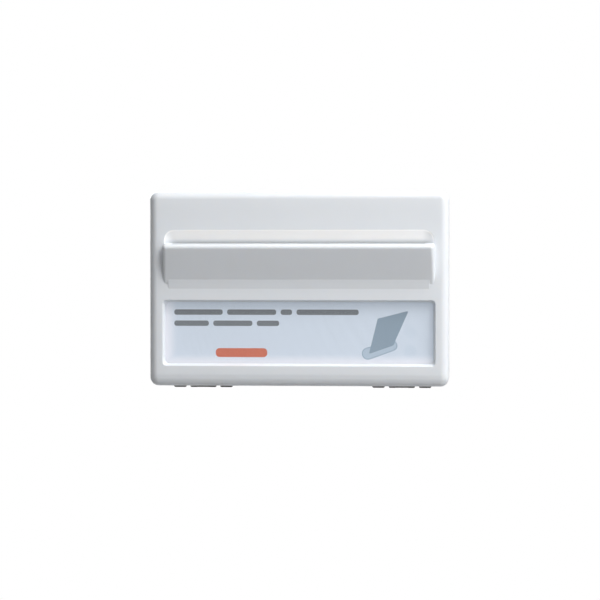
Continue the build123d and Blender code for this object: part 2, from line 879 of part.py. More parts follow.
# Return spring between the plunger and the rear cover
with BuildPart() as return_spring:
    with BuildLine():
        return_coil = coil_path(
            plunger_back - return_spring_wire / 2,
            -housing_depth + return_spring_wire / 2,
            return_spring_radius,
            return_spring_turns,
        )
    with BuildSketch(Plane(origin=return_coil @ 0, z_dir=return_coil % 0)):
        RegularPolygon(return_spring_wire / 2, 4)
    sweep(path=return_coil, is_frenet=True)
return_spring.part.label = "return_spring"
export_step(return_spring.part, "parts/return_spring.step")

# Contact spring behind the bridge, in the plunger's window
with BuildPart() as contact_spring:
    with BuildLine():
        contact_coil = coil_path(
            bridge_front - bridge_thickness - contact_spring_wire / 2,
            bridge_window_back + contact_spring_wire / 2,
            contact_spring_radius,
            contact_spring_turns,
        )
    with BuildSketch(Plane(origin=contact_coil @ 0, z_dir=contact_coil % 0)):
        RegularPolygon(contact_spring_wire / 2, 4)
    sweep(path=contact_coil, is_frenet=True)
contact_spring.part.label = "contact_spring"
export_step(contact_spring.part, "parts/contact_spring.step")

# Contact bridge
with BuildPart() as contact_bridge:
    with BuildSketch(wall_plane(bridge_front)):
        with Locations((0, plunger_z)):
            RectangleRounded(2 * bridge_half_length, bridge_width, bridge_width / 4)
    extrude(amount=-bridge_thickness)
contact_bridge.part.label = "contact_bridge"
export_step(contact_bridge.part, "parts/contact_bridge.step")

# Contact tips: two on the bridge and two on the strips
tip_places = [(-contact_x, plunger_z), (contact_x, plunger_z)]
with BuildPart() as moving_contact_tips:
    with BuildSketch(wall_plane(bridge_front - bridge_thickness)):
        with Locations(*tip_places):
            Circle(tip_radius)
    extrude(amount=-moving_tip_thickness)
moving_contact_tips.part.label = "moving_contact_tips"
export_step(moving_contact_tips.part, "parts/moving_contact_tips.step")

with BuildPart() as fixed_contact_tips:
    with BuildSketch(wall_plane(strip_front)):
        with Locations(*tip_places):
            Circle(tip_radius)
    extrude(amount=fixed_tip_thickness)
fixed_contact_tips.part.label = "fixed_contact_tips"
export_step(fixed_contact_tips.part, "parts/fixed_contact_tips.step")


# Contact strips: an upright leg with a tail bent into the terminal clamp
strip_back = strip_front - strip_thickness
tail_back = clamp_front - clamp_depth
strip_end_z = loose_gap - housing_cavity_height / 2
for strip_name, strip_x in (("line_contact_strip", -contact_x), ("load_contact_strip", contact_x)):
    with BuildPart() as contact_strip:
        with BuildSketch(wall_plane(strip_back)):
            with Locations((strip_x, (strip_tail_z + strip_thickness + strip_end_z) / 2)):
                Rectangle(strip_width, strip_tail_z + strip_thickness - strip_end_z)
        extrude(amount=strip_thickness)
        with BuildSketch(wall_plane(strip_front)):
            with Locations((strip_x, strip_tail_z + strip_thickness / 2)):
                Rectangle(strip_tail_width, strip_thickness)
        extrude(amount=tail_back - strip_front)
    contact_strip.part.label = strip_name
    export_step(contact_strip.part, f"parts/{strip_name}.step")

# Lamp contact strips, from the board's tab to the last two terminals
with BuildPart() as lamp_contact_strips:
    for lamp_strip_x in terminal_places[2:]:
        with BuildSketch(side_plane(lamp_strip_x)):
            with BuildLine():
                Polyline(
                    (frame_thickness, lamp_strip_z),
                    (frame_thickness, lamp_strip_z - strip_thickness),
                    (strip_back, lamp_strip_z - strip_thickness),
                    (strip_back, strip_tail_z),
                    (tail_back, strip_tail_z),
                    (tail_back, strip_tail_z + strip_thickness),
                    (strip_front, strip_tail_z + strip_thickness),
                    (strip_front, lamp_strip_z),
                    close=True,
                )
            make_face()
        extrude(amount=lamp_strip_width / 2, both=True)
lamp_contact_strips.part.label = "lamp_contact_strips"
export_step(lamp_contact_strips.part, "parts/lamp_contact_strips.step")

# Terminal clamps: square cages with a tapped hole in the top
with BuildPart() as terminal_clamps:
    with BuildSketch(wall_plane(clamp_front)):
        with Locations(*[(x, clamp_bottom + clamp_height / 2) for x in terminal_places]):
            Rectangle(clamp_width, clamp_height)
            Rectangle(clamp_width - 2 * clamp_wall, clamp_height - 2 * clamp_wall, mode=Mode.SUBTRACT)
    extrude(amount=-clamp_depth)
    with BuildSketch(top_plane(clamp_bottom + clamp_height)):
        with Locations(*[(x, clamp_middle) for x in terminal_places]):
            Circle(terminal_screw_radius + shaft_gap)
    extrude(amount=clamp_wall, mode=Mode.SUBTRACT)
terminal_clamps.part.label = "terminal_clamps"
export_step(terminal_clamps.part, "parts/terminal_clamps.step")

# Terminal screws
with BuildPart() as terminal_screws:
    with BuildSketch(top_plane(terminal_screw_top)):
        with Locations(*[(x, clamp_middle) for x in terminal_places]):
            Circle(terminal_head_radius)
    extrude(amount=terminal_head_thickness)
    with BuildSketch(top_plane(terminal_screw_top)):
        with Locations(*[(x, clamp_middle) for x in terminal_places]):
            Circle(terminal_screw_radius)
    extrude(amount=terminal_screw_top - terminal_screw_bottom)
    with BuildSketch(top_plane(terminal_screw_top)):
        with Locations(*[(x, clamp_middle) for x in terminal_places]):
            Rectangle(2 * terminal_head_radius, drive_width)
    extrude(amount=drive_depth, mode=Mode.SUBTRACT)
terminal_screws.part.label = "terminal_screws"
export_step(terminal_screws.part, "parts/terminal_screws.step")

# Lamp board
with BuildPart() as lamp_board:
    with BuildSketch(wall_plane(frame_thickness)):
        with BuildLine():
            Polyline(
                (board_tab_left, board_tab_top),
                (board_left, board_tab_top),
                (board_left, board_top),
                (board_right, board_top),
                (board_right, board_bottom),
                (board_foot_left, board_bottom),
                (board_foot_left, board_foot_top),
                (board_left, board_foot_top),
                (board_left, board_tab_bottom),
                (board_tab_left, board_tab_bottom),
                close=True,
            )
        make_face()
    extrude(amount=board_thickness)
lamp_board.part.label = "lamp_board"
export_step(lamp_board.part, "parts/lamp_board.step")

# Indicator lamps: low round bodies with a bevelled top
with BuildPart() as indicator_lamps:
    lamp_foot = frame_thickness + board_thickness
    with BuildSketch(wall_plane(lamp_foot)):
        with Locations(*lamp_places):
            Circle(lamp_radius)
    extrude(amount=lamp_crown_height - lamp_foot)
    crown_edges = indicator_lamps.faces().group_by(Axis.Y)[0].edges()
    chamfer(crown_edges, lamp_crown_height - guide_front - lamp_gap)
indicator_lamps.part.label = "indicator_lamps"
export_step(indicator_lamps.part, "parts/indicator_lamps.step")

# Dropper resistor behind the board's tab: a waisted body with two leads bent to the board
with BuildPart() as dropper_resistor:
    resistor_height = frame_thickness - resistor_radius - sliding_gap
    resistor_z = (board_tab_top + board_tab_bottom) / 2
    cap_length = resistor_length / 4
    with BuildSketch(side_plane(resistor_x)):
        with Locations((resistor_height, resistor_z)):
            Circle(resistor_waist_radius)
    extrude(amount=resistor_length / 2, both=True)
    for side in (-1, 1):
        with BuildSketch(side_plane(resistor_x + side * (resistor_length - cap_length) / 2)):
            with Locations((resistor_height, resistor_z)):
                Circle(resistor_radius)
        extrude(amount=cap_length / 2, both=True)
        lead_x = resistor_x + side * (resistor_length / 2 + 2 * resistor_lead_radius)
        with BuildSketch(side_plane(lead_x)):
            with Locations(((resistor_height + frame_thickness) / 2, resistor_z)):
                Rectangle(frame_thickness - resistor_height, 2 * resistor_lead_radius)
            with Locations((resistor_height, resistor_z)):
                Circle(resistor_lead_radius)
        extrude(amount=2 * resistor_lead_radius, both=True)
dropper_resistor.part.label = "dropper_resistor"
export_step(dropper_resistor.part, "parts/dropper_resistor.step")
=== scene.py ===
"""The hotel key card switch: a white wall plate with a slanted card pocket and a label window.

Dresses the CAD nodes, adds the printed label, and makes the light, the floor and the camera.
Lengths are in metres unless a name ends in _MM. X runs to the right, Z up, and the room is on
the -Y side, so a height out of the wall is a distance along -Y.
"""

import math

import bmesh
import bpy
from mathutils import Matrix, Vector


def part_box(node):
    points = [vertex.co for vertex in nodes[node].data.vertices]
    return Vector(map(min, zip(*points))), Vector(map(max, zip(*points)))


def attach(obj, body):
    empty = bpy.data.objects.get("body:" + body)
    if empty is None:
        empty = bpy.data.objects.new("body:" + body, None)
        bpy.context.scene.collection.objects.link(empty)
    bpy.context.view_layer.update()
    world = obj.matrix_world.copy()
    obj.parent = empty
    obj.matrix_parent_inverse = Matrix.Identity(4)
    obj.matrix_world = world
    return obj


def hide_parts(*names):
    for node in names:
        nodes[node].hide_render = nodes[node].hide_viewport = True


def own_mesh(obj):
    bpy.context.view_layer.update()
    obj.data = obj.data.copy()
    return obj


MM = 0.001

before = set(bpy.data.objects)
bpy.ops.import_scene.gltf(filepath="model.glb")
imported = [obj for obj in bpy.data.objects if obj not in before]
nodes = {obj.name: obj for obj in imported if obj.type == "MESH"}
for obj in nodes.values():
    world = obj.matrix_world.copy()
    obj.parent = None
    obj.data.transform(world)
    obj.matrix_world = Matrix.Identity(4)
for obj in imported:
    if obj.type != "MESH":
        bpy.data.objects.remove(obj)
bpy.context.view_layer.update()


# The camera, at the photograph's viewing angle

FACE_HEIGHT = 14 * MM  # of the plate's face, out of the wall
VIEW_AZIMUTH = math.radians(4.5)
VIEW_ELEVATION = math.radians(1.2)
VIEW_DISTANCE = 0.9985
LOOK_AT = Vector((0.63 * MM, -FACE_HEIGHT, -4.46 * MM))
LENS_LENGTH_MM = 150
SENSOR_WIDTH_MM = 36
CLIP_START = 0.05

camera_data = bpy.data.cameras.new("camera")
camera_data.lens = LENS_LENGTH_MM
camera_data.sensor_width = SENSOR_WIDTH_MM
camera_data.sensor_fit = "HORIZONTAL"
camera_data.clip_start = CLIP_START
camera = bpy.data.objects.new("camera", camera_data)
bpy.context.scene.collection.objects.link(camera)
view_back = Vector(
    (
        math.sin(VIEW_AZIMUTH) * math.cos(VIEW_ELEVATION),
        -math.cos(VIEW_AZIMUTH) * math.cos(VIEW_ELEVATION),
        math.sin(VIEW_ELEVATION),
    )
)
camera.location = LOOK_AT + view_back * VIEW_DISTANCE
camera.rotation_euler = view_back.to_track_quat("Z", "Y").to_euler()
bpy.context.scene.camera = camera


# Materials

# sockets of the colour Mix node, whose sockets share their names
MIX_FACTOR, MIX_A, MIX_B, MIX_RESULT = 0, 6, 7, 2
BEVEL_SAMPLES = 6
LEAST_ROUGHNESS = 0.02


class Shader:
    """A Principled material built from nodes, with coordinates in metres in the row frame."""

    def __init__(self, name, colour, roughness):
        self.material = bpy.data.materials.new(name)
        self.material.use_nodes = True
        self.tree = self.material.node_tree
        self.shader = self.tree.nodes["Principled BSDF"]
        self.colour = colour
        self.roughness = roughness
        self.shader.inputs["Base Color"].default_value = (*colour, 1)
        self.shader.inputs["Roughness"].default_value = roughness
        self.shader.inputs["Specular IOR Level"].default_value = 0.5
        self.place = self.tree.nodes.new("ShaderNodeTexCoord").outputs["Object"]
        self.normal = None

    def link(self, source, target):
        self.tree.links.new(source, target)

    def put(self, socket, value):
        """Gives a socket a link or a plain value."""
        if hasattr(value, "is_output"):
            self.link(value, socket)
        else:
            socket.default_value = value

    def axis(self, name):
        split = self.tree.nodes.new("ShaderNodeSeparateXYZ")
        self.link(self.place, split.inputs["Vector"])
        return split.outputs[name]

    def stretched(self, stretch):
        mapping = self.tree.nodes.new("ShaderNodeMapping")
        mapping.inputs["Scale"].default_value = stretch
        self.link(self.place, mapping.inputs["Vector"])
        return mapping.outputs["Vector"]

    def noise(self, size_mm, detail=2, stretch=None):
        """Noise with blobs of a size in millimetres."""
        noise = self.tree.nodes.new("ShaderNodeTexNoise")
        noise.inputs["Scale"].default_value = 1 / (size_mm * MM)
        noise.inputs["Detail"].default_value = detail
        place = self.stretched(stretch) if stretch else self.place
        self.link(place, noise.inputs["Vector"])
        return noise.outputs["Fac"]

    def span(self, value, low, high, start=0.3, end=0.7, smooth=False):
        """A change from low to high while value goes from start to end, which suit a noise."""
        node = self.tree.nodes.new("ShaderNodeMapRange")
        if smooth:
            node.interpolation_type = "SMOOTHSTEP"
        node.inputs["From Min"].default_value = start
        node.inputs["From Max"].default_value = end
        node.inputs["To Min"].default_value = low
        node.inputs["To Max"].default_value = high
        self.put(node.inputs["Value"], value)
        return node.outputs["Result"]

    def ramp(self, value, start_mm, end_mm, low=0, high=1):
        """A smooth change from low to high between two places on an axis."""
        return self.span(value, low, high, start_mm * MM, end_mm * MM, True)

    def band(self, value, low_mm, high_mm, soft_mm):
        """One between two places on an axis, fading over a soft length outside them."""
        rise = self.ramp(value, low_mm - soft_mm, low_mm)
        fall = self.ramp(value, high_mm, high_mm + soft_mm, 1, 0)
        return self.times(rise, fall)

    def math(self, operation, *values):
        node = self.tree.nodes.new("ShaderNodeMath")
        node.operation = operation
        for socket, value in zip(node.inputs, values):
            self.put(socket, value)
        return node.outputs["Value"]

    def times(self, result, *others):
        for other in others:
            result = self.math("MULTIPLY", result, other)
        return result

    def plus(self, result, *others):
        for other in others:
            result = self.math("ADD", result, other)
        return result

    def mix(self, factor, a, b):
        node = self.tree.nodes.new("ShaderNodeMix")
        node.data_type = "RGBA"
        self.put(node.inputs[MIX_FACTOR], factor)
        self.put(node.inputs[MIX_A], (*a, 1) if isinstance(a, tuple) else a)
        self.put(node.inputs[MIX_B], (*b, 1) if isinstance(b, tuple) else b)
        return node.outputs[MIX_RESULT]

    def round_edges(self, radius_mm):
        bevel = self.tree.nodes.new("ShaderNodeBevel")
        bevel.samples = BEVEL_SAMPLES
        bevel.inputs["Radius"].default_value = radius_mm * MM
        self.normal = bevel.outputs["Normal"]
        return self

    def lean(self, sideways, upward):
        """Tilts the shading normal a little along X and Z, as a soft crown or hollow would."""
        tilt = self.tree.nodes.new("ShaderNodeCombineXYZ")
        self.put(tilt.inputs["X"], sideways)
        self.put(tilt.inputs["Z"], upward)
        total = self.tree.nodes.new("ShaderNodeVectorMath")
        total.operation = "ADD"
        self.link(self.normal, total.inputs[0])
        self.link(tilt.outputs["Vector"], total.inputs[1])
        unit = self.tree.nodes.new("ShaderNodeVectorMath")
        unit.operation = "NORMALIZE"
        self.link(total.outputs["Vector"], unit.inputs[0])
        self.normal = unit.outputs["Vector"]
        return self

    def grain(self, size_mm, depth_mm, detail=2, stretch=None):
        bump = self.tree.nodes.new("ShaderNodeBump")
        bump.inputs["Strength"].default_value = 1
        bump.inputs["Distance"].default_value = depth_mm * MM
        self.link(self.noise(size_mm, detail, stretch), bump.inputs["Height"])
        if self.normal is not None:
            self.link(self.normal, bump.inputs["Normal"])
        self.normal = bump.outputs["Normal"]
        return self

    def mottle(self, size_mm, change=0.0, other=None):
        """Slow, slight change of colour over the surface, to a darker tone or another colour."""
        darker = other or tuple(c * (1 - change) for c in self.colour)
        factor = self.span(self.noise(size_mm, 3), 0, 1)
        self.link(self.mix(factor, self.colour, darker), self.shader.inputs["Base Color"])
        return self

    def uneven_gloss(self, size_mm, change, stretch=None):
        low = max(self.roughness - change, LEAST_ROUGHNESS)
        factor = self.span(self.noise(size_mm, 2, stretch), low, self.roughness + change)
        self.link(factor, self.shader.inputs["Roughness"])
        return self

    def let_light_in(self, weight, radii_mm):
        self.shader.inputs["Subsurface Weight"].default_value = weight
        self.shader.inputs["Subsurface Radius"].default_value = [r * MM for r in radii_mm]
        self.shader.inputs["Subsurface Scale"].default_value = 1
        return self

    def done(self):
        if self.normal is not None:
            self.link(self.normal, self.shader.inputs["Normal"])
        return self.material


def moulded(name, colour, roughness, grain_mm=0.35, depth_mm=0.0012, mottle_mm=14, change=0.02):
    """Moulded plastic: a fine spark-eroded grain, soft edges and slightly uneven gloss."""
    shader = Shader(name, colour, roughness)
    shader.round_edges(0.15)
    shader.grain(grain_mm, depth_mm)
    shader.mottle(mottle_mm, change)
    shader.uneven_gloss(5, 0.04)
    return shader.done()


def metal(name, colour, roughness, brush=(1, 1, 1), grain_mm=0.1, depth_mm=0.0015, stain=None):
    """Plated or stamped metal with drawn marks and a slight stain."""
    shader = Shader(name, colour, roughness)
    shader.shader.inputs["Metallic"].default_value = 1
    shader.round_edges(0.12)
    shader.grain(grain_mm, depth_mm, 3, brush)
    shader.mottle(1.6, 0.14, stain)
    shader.uneven_gloss(0.9, 0.08, brush)
    return shader.done()


# The cover. A band is low, high and soft; a crown is start, end, and the lean at each. All in mm.
COVER_WHITE = (0.778, 0.803, 0.832)
COVER_SHADE = (0.768, 0.794, 0.824)
# painted light: the mouth's wall is coloured lighter and more neutral than the face, for the
# light the lip bounces into it
MOUTH_PAINTED_LIGHT = (0.872, 0.870, 0.868)
# painted highlight: a whiter line along the rim of the mouth
RIM_PAINTED_HIGHLIGHT = (0.92, 0.92, 0.92)
FACE_BAND = (13.2, 14.05, 0.1)
LEFT_CROWN = (-59.5, -55, -0.16, 0)
RIGHT_CROWN = (55, 59.5, 0, 0.10)
HEAD_CROWN = (32, 38, 0, 0.06)
FOOT_BAND, FOOT_LEAN = (-36, -35.2, 1.5), -0.13
FOOT_CROWN = (-37.7, -36.8, 0.14, 0)
LIP_CROWN, LIP_BAND = (14.4, 17.4, 0, 0.12), (17, 21, 0.5)
MOUTH_DEPTH_BAND = (12, 13.97, 0.025)
MOUTH_LEVEL_BAND = (18, 24, 0.1)
MOUTH_WIDTH_BAND = (-54.2, 54.2, 0.1)
MOUTH_MIDDLE_BAND, MOUTH_END_SHARE = (-49, 49, 3.5), 0.4
MOUTH_FOOT_FADE = (18.4, 20.2, 0.1, 1)
MOUTH_LEAN = 0.43
HOLLOW_BAND, HOLLOW_LEAN = (20.1, 20.9, 1.3), 0.15
RIM_BAND, RIM_LEAN = (13.87, 13.97, 0.04), 0.16
# the heights between which the painted light in the mouth fades in above the slot
MOUTH_LIGHT_FADE = (18.9, 20.5)


def moulded_cover():
    """Satin white plastic, whose face is softly crowned at its border, lip and mouth, with
    painted light in the mouth and a painted highlight along the mouth's rim.
    """
    shader = Shader("cover_plastic", COVER_WHITE, 0.34)
    shader.round_edges(0.12)
    x, z = shader.axis("X"), shader.axis("Z")
    height = shader.times(shader.axis("Y"), -1)

    on_face = shader.band(height, *FACE_BAND)
    sides = shader.plus(shader.ramp(x, *LEFT_CROWN), shader.ramp(x, *RIGHT_CROWN))
    outward = shader.times(sides, on_face)
    foot = shader.times(shader.band(z, *FOOT_BAND), FOOT_LEAN)
    foot = shader.plus(foot, shader.ramp(z, *FOOT_CROWN))
    border = shader.times(shader.plus(foot, shader.ramp(z, *HEAD_CROWN)), on_face)

    in_mouth = shader.times(
        shader.band(height, *MOUTH_DEPTH_BAND),
        shader.band(z, *MOUTH_LEVEL_BAND),
        shader.band(x, *MOUTH_WIDTH_BAND),
    )
    inner = shader.span(shader.band(x, *MOUTH_MIDDLE_BAND), MOUTH_END_SHARE, 1, 0, 1)
    rim = shader.band(height, *RIM_BAND)
    hollow = shader.plus(
        shader.times(shader.band(z, *HOLLOW_BAND), HOLLOW_LEAN),
        MOUTH_LEAN,
        shader.times(rim, RIM_LEAN),
    )
    hollow = shader.times(hollow, shader.ramp(z, *MOUTH_FOOT_FADE), in_mouth, inner)
    lip = shader.times(shader.ramp(z, *LIP_CROWN), shader.band(height, *LIP_BAND))
    shader.lean(outward, shader.plus(border, hollow, lip))
    shader.grain(0.3, 0.0006)

    base = shader.mix(shader.span(shader.noise(30, 3), 0, 1), shader.colour, COVER_SHADE)
    # painted light in the mouth, fading out towards the slot
    mouth_light = shader.times(in_mouth, shader.ramp(z, *MOUTH_LIGHT_FADE), inner)
    base = shader.mix(mouth_light, base, MOUTH_PAINTED_LIGHT)
    # painted highlight on the mouth's rim
    base = shader.mix(shader.times(rim, in_mouth), base, RIM_PAINTED_HIGHLIGHT)
    shader.link(base, shader.shader.inputs["Base Color"])
    shader.uneven_gloss(5, 0.04)
    shader.let_light_in(0.3, (1.6, 1.4, 1.2))
    return shader.done()


cover_plastic = moulded_cover()
guide_plastic = moulded("guide_plastic", (0.74, 0.735, 0.70), 0.42)
frame_plastic = moulded(
    "frame_plastic", (0.125, 0.125, 0.12), 0.5,
    grain_mm=0.4, depth_mm=0.004, mottle_mm=9, change=0.08,
)
housing_plastic = moulded(
    "housing_plastic", (0.66, 0.66, 0.63), 0.5,
    grain_mm=0.45, depth_mm=0.004, mottle_mm=10, change=0.05,
)
rear_plastic = moulded(
    "rear_plastic", (0.56, 0.565, 0.55), 0.5,
    grain_mm=0.45, depth_mm=0.004, mottle_mm=10, change=0.05,
)
lever_plastic = moulded(
    "lever_plastic", (0.71, 0.70, 0.665), 0.38, grain_mm=0.4, depth_mm=0.0015
)
plunger_plastic = moulded(
    "plunger_plastic", (0.52, 0.47, 0.36), 0.45, grain_mm=0.4, depth_mm=0.002
)
opal_plastic = moulded(
    "opal_plastic", (0.78, 0.80, 0.84), 0.3, grain_mm=0.5, depth_mm=0.0006, mottle_mm=12
)

zinc_steel = metal(
    "zinc_steel", (0.62, 0.63, 0.62), 0.3, grain_mm=0.12, stain=(0.50, 0.51, 0.47)
)
spring_steel = metal(
    "spring_steel", (0.42, 0.42, 0.43), 0.28, brush=(1, 0.2, 1), depth_mm=0.001
)
pin_steel = metal(
    "pin_steel", (0.55, 0.55, 0.56), 0.22, brush=(0.1, 1, 1), grain_mm=0.08, depth_mm=0.0008
)
brass = metal(
    "brass", (0.72, 0.50, 0.20), 0.3, brush=(1, 1, 0.08), stain=(0.58, 0.36, 0.12)
)
clamp_brass = metal(
    "clamp_brass", (0.60, 0.52, 0.36), 0.36,
    brush=(0.1, 1, 1), grain_mm=0.14, depth_mm=0.002, stain=(0.50, 0.40, 0.24),
)
silver_contact = metal("silver_contact", (0.80, 0.79, 0.76), 0.24, depth_mm=0.001)

laminate = Shader("board_laminate", (0.055, 0.155, 0.07), 0.32)
laminate.round_edges(0.08)
laminate.grain(0.22, 0.004, stretch=(1, 1, 0.35))
laminate.mottle(2.2, other=(0.035, 0.11, 0.05))
laminate.uneven_gloss(1.5, 0.08)
board_laminate = laminate.done()

lamp = Shader("lamp_body", (0.86, 0.87, 0.88), 0.2)
lamp.round_edges(0.25)
lamp.grain(0.4, 0.002)
lamp.mottle(1.8, other=(0.78, 0.80, 0.84))
lamp.let_light_in(0.4, (0.6, 0.6, 0.6))
lamp_body = lamp.done()

resistor = Shader("resistor_body", (0.50, 0.40, 0.26), 0.25)
resistor.round_edges(0.2)
resistor.grain(0.5, 0.003)
resistor.mottle(1.1, 0.1)
resistor_body = resistor.done()

LENS_ALPHA = 0.06  # low, so that the film is seen through it
lens = Shader("lens_plastic", (0.985, 0.99, 1.0), 0.03)
lens.shader.inputs["Alpha"].default_value = LENS_ALPHA
lens.grain(9, 0.0015, detail=1)
lens.uneven_gloss(14, 0.02)
lens_plastic = lens.done()


# The label film: pale blue-grey with a paper grain. Its faint glow is partly the backlight of the
# lamps behind it and partly painted light that lifts the window's cast shadow; painted light
# makes it lighter at its left and bottom edges, and faint darker discs are the painted shade of
# the three lamps behind it

LABEL_LOW, LABEL_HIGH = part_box("label_insert")
LABEL_FRONT = -LABEL_LOW.y
PIXEL = 0.3994 * MM  # of the photograph, at the plate's face
CENTRE_PX, CENTRE_PY = 298.42, 288.83  # the pixel of X 0 and Z 0 at the plate's face


def label_place(px, py):
    """The place in X and Z on the label of a pixel of the photograph."""
    behind = LABEL_FRONT - FACE_HEIGHT
    x = (px - CENTRE_PX) * PIXEL + behind * math.sin(VIEW_AZIMUTH)
    z = (CENTRE_PY - py) * PIXEL + behind * math.sin(VIEW_ELEVATION)
    return x, z


FILM_TONES = (0.44, 0.49, 0.565), (0.46, 0.51, 0.585)
# painted light: a paler tone towards the film's left and bottom edges, where light off the lens
# and the window's bevel falls
PAINTED_GLOW_TONE = (0.65, 0.63, 0.67)
GLOW_START, LEFT_GLOW_END, FOOT_GLOW_END = 0.6 * MM, 6 * MM, 5 * MM  # from the label's edges
# the film glows: partly the backlight of the lamps behind it, partly painted light that lifts the
# window's cast shadow, more at the painted edges
FILM_LIGHT = (0.80, 0.90, 1, 1)
LIGHT_STRENGTH, GLOW_STRENGTH = 0.27, 0.295
# painted shade: darker discs where the three lamps stand behind the film
LAMP_DISCS = (410.3, 332, 0.5), (410.7, 351.2, 0.8), (390, 353, 0.3)  # pixel, and how strong
PAINTED_DISC_SHADE = (0.40, 0.46, 0.54)
DISC_RADII_MM = (2.2, 2.8)  # where a disc starts and ends fading


def lit_film():
    film = Shader("label_film", (0.47, 0.525, 0.60), 0.42)
    film.grain(0.25, 0.001)
    x, z = film.axis("X"), film.axis("Z")
    left, foot = LABEL_LOW.x, LABEL_LOW.z
    # painted light along the film's left and bottom edges
    left_glow = film.span(x, 1, 0, left + GLOW_START, left + LEFT_GLOW_END, True)
    foot_glow = film.span(z, 1, 0, foot + GLOW_START, foot + FOOT_GLOW_END, True)
    glow = film.math("MAXIMUM", left_glow, foot_glow)
    tone = film.mix(film.span(film.noise(0.5, 3), 0, 1), *FILM_TONES)
    # painted shade of the lamps behind the film
    discs = 0
    for px, py, strength in LAMP_DISCS:
        disc_x, disc_z = label_place(px, py)
        across = film.math("POWER", film.math("SUBTRACT", x, disc_x), 2)
        along = film.math("POWER", film.math("SUBTRACT", z, disc_z), 2)
        away = film.math("SQRT", film.plus(across, along))
        discs = film.math("MAXIMUM", discs, film.ramp(away, *DISC_RADII_MM, strength, 0))
    tone = film.mix(discs, tone, PAINTED_DISC_SHADE)
    film.link(film.mix(glow, tone, PAINTED_GLOW_TONE), film.shader.inputs["Base Color"])
    # painted light: an even glow, stronger along the painted edges
    film.shader.inputs["Emission Color"].default_value = FILM_LIGHT
    strength = film.span(glow, LIGHT_STRENGTH, GLOW_STRENGTH, 0, 1)
    film.link(strength, film.shader.inputs["Emission Strength"])
    film.uneven_gloss(3, 0.05)
    return film.done()


NODE_MATERIALS = {
    "front_cover": cover_plastic,
    "window_lens": lens_plastic,
    "label_insert": lit_film(),
    "label_retainer": opal_plastic,
    "mounting_frame": frame_plastic,
    "card_guide": guide_plastic,
    "guide_screws": zinc_steel,
    "switch_housing": housing_plastic,
    "housing_rear_cover": rear_plastic,
    "rear_cover_screws": zinc_steel,
    "card_lever": lever_plastic,
    "lever_pivot_pin": pin_steel,
    "switch_plunger": plunger_plastic,
    "return_spring": spring_steel,
    "contact_spring": spring_steel,
    "contact_bridge": brass,
    "moving_contact_tips": silver_contact,
    "fixed_contact_tips": silver_contact,
    "line_contact_strip": brass,
    "load_contact_strip": brass,
    "lamp_contact_strips": brass,
    "terminal_clamps": clamp_brass,
    "terminal_screws": zinc_steel,
    "lamp_board": board_laminate,
    "indicator_lamps": lamp_body,
    "dropper_resistor": resistor_body,
}
for node_name, node_material in NODE_MATERIALS.items():
    node_mesh = nodes[node_name].data
    node_mesh.materials.clear()
    node_mesh.materials.append(node_material)


def piece_from(bm, name, material):
    """A new object with the shape of a bmesh, which is used up."""
    mesh = bpy.data.meshes.new(name)
    bm.to_mesh(mesh)
    bm.free()
    mesh.materials.append(material)
    piece = bpy.data.objects.new(name, mesh)
    bpy.context.scene.collection.objects.link(piece)
    return piece


# The thick root of the lip, which narrows the slot to the card behind the mouth

LEDGE_PROFILE_MM = [  # height out of the wall, and Z
    (15.9, 18.08), (16.1, 18.07), (18.45, 17.82), (17.9, 16.3), (16.2, 16.3), (15.9, 16.6)
]
LEDGE_HALF_WIDTH = 50.55 * MM


def lip_ledge():
    bm = bmesh.new()
    ends = [
        [bm.verts.new((x, -height * MM, z * MM)) for height, z in LEDGE_PROFILE_MM]
        for x in (-LEDGE_HALF_WIDTH, LEDGE_HALF_WIDTH)
    ]
    bm.faces.new(ends[0])
    bm.faces.new(list(reversed(ends[1])))
    for n in range(len(LEDGE_PROFILE_MM)):
        bm.faces.new((ends[0][n - 1], ends[1][n - 1], ends[1][n], ends[0][n]))
    bmesh.ops.recalc_face_normals(bm, faces=bm.faces)
    ledge = piece_from(bm, "lip_ledge", cover_plastic)
    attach(ledge, "cover")


lip_ledge()


# The return spring, drawn at one length; the real spring shortens as the plunger comes back
# towards the housing's rear cover

SPRING_WIRE_RADIUS = 0.25 * MM
SPRING_TURNS = 4
SPRING_STEPS = 20  # in each turn
WIRE_SIDES = 8


def return_coil():
    """A coil of round wire in the space of the CAD node return_spring."""
    low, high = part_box("return_spring")
    centre_x, centre_z = (low.x + high.x) / 2, (low.z + high.z) / 2
    coil_radius = (high.x - low.x) / 2 - SPRING_WIRE_RADIUS
    length = high.y - low.y
    count = SPRING_TURNS * SPRING_STEPS
    forward = Vector((0, 1, 0))
    bm = bmesh.new()
    rings = []
    for n in range(count + 1):
        turn = math.tau * n / SPRING_STEPS
        outward = Vector((math.cos(turn), 0, math.sin(turn)))
        y = low.y + SPRING_WIRE_RADIUS + (length - 2 * SPRING_WIRE_RADIUS) * n / count
        spot = Vector((centre_x, y, centre_z)) + outward * coil_radius
        ring = []
        for k in range(WIRE_SIDES):
            angle = math.tau * k / WIRE_SIDES
            step = outward * math.cos(angle) + forward * math.sin(angle)
            ring.append(bm.verts.new(spot + step * SPRING_WIRE_RADIUS))
        rings.append(ring)
    for before, after in zip(rings, rings[1:]):
        for k in range(WIRE_SIDES):
            face = bm.faces.new((before[k - 1], before[k], after[k], after[k - 1]))
            face.smooth = True
    bm.faces.new(rings[0])
    bm.faces.new(rings[-1])
    bmesh.ops.recalc_face_normals(bm, faces=bm.faces)
    coil = piece_from(bm, "return_coil", spring_steel)
    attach(coil, "root")
    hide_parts("return_spring")
    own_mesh(coil)


return_coil()


# Printed shapes on the label, each a thin plate that starts just inside the film

PRINT_RISE = 0.012 * MM
CORNER_STEPS = 5
END_STEPS = 10


